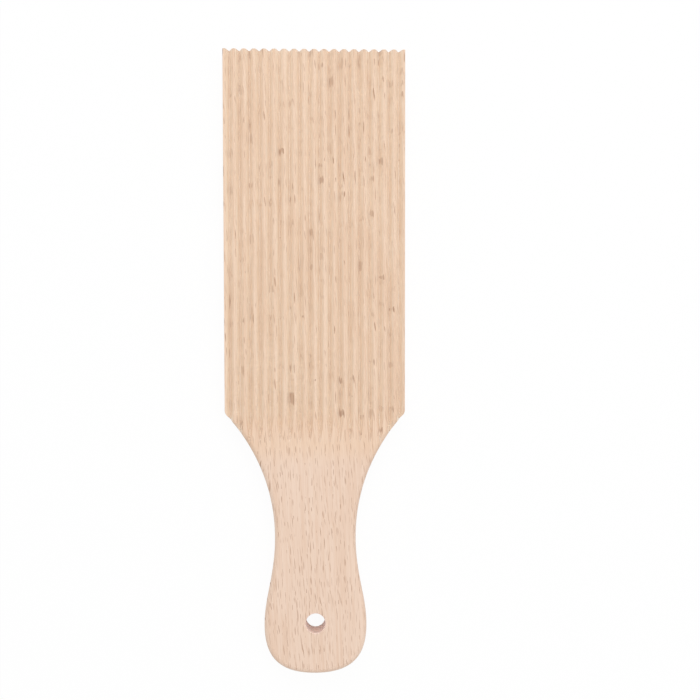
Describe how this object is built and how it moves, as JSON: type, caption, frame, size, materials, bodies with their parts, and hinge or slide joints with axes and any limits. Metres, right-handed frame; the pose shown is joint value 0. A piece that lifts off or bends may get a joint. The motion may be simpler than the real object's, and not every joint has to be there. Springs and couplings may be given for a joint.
{
  "type": "gnocchi board",
  "caption": "Flat wooden gnocchi board with a lengthwise ridged blade and a waisted, bulb-ended handle with a hanging hole.",
  "frame": {"origin": "on the plane of the flat back, under the middle of the board's length and width", "axes": "+X from the handle's end to the open end of the ridged blade, +Z out of the ridged face, +Y across the board"},
  "size_m": [0.24, 0.07, 0.01],
  "materials": {
    "beech": "bare sanded beech, pale pinkish tan, with short dark ray flecks along the grain"
  },
  "bodies": {
    "root": {"board": "beech"}
  },
  "joints": []
}
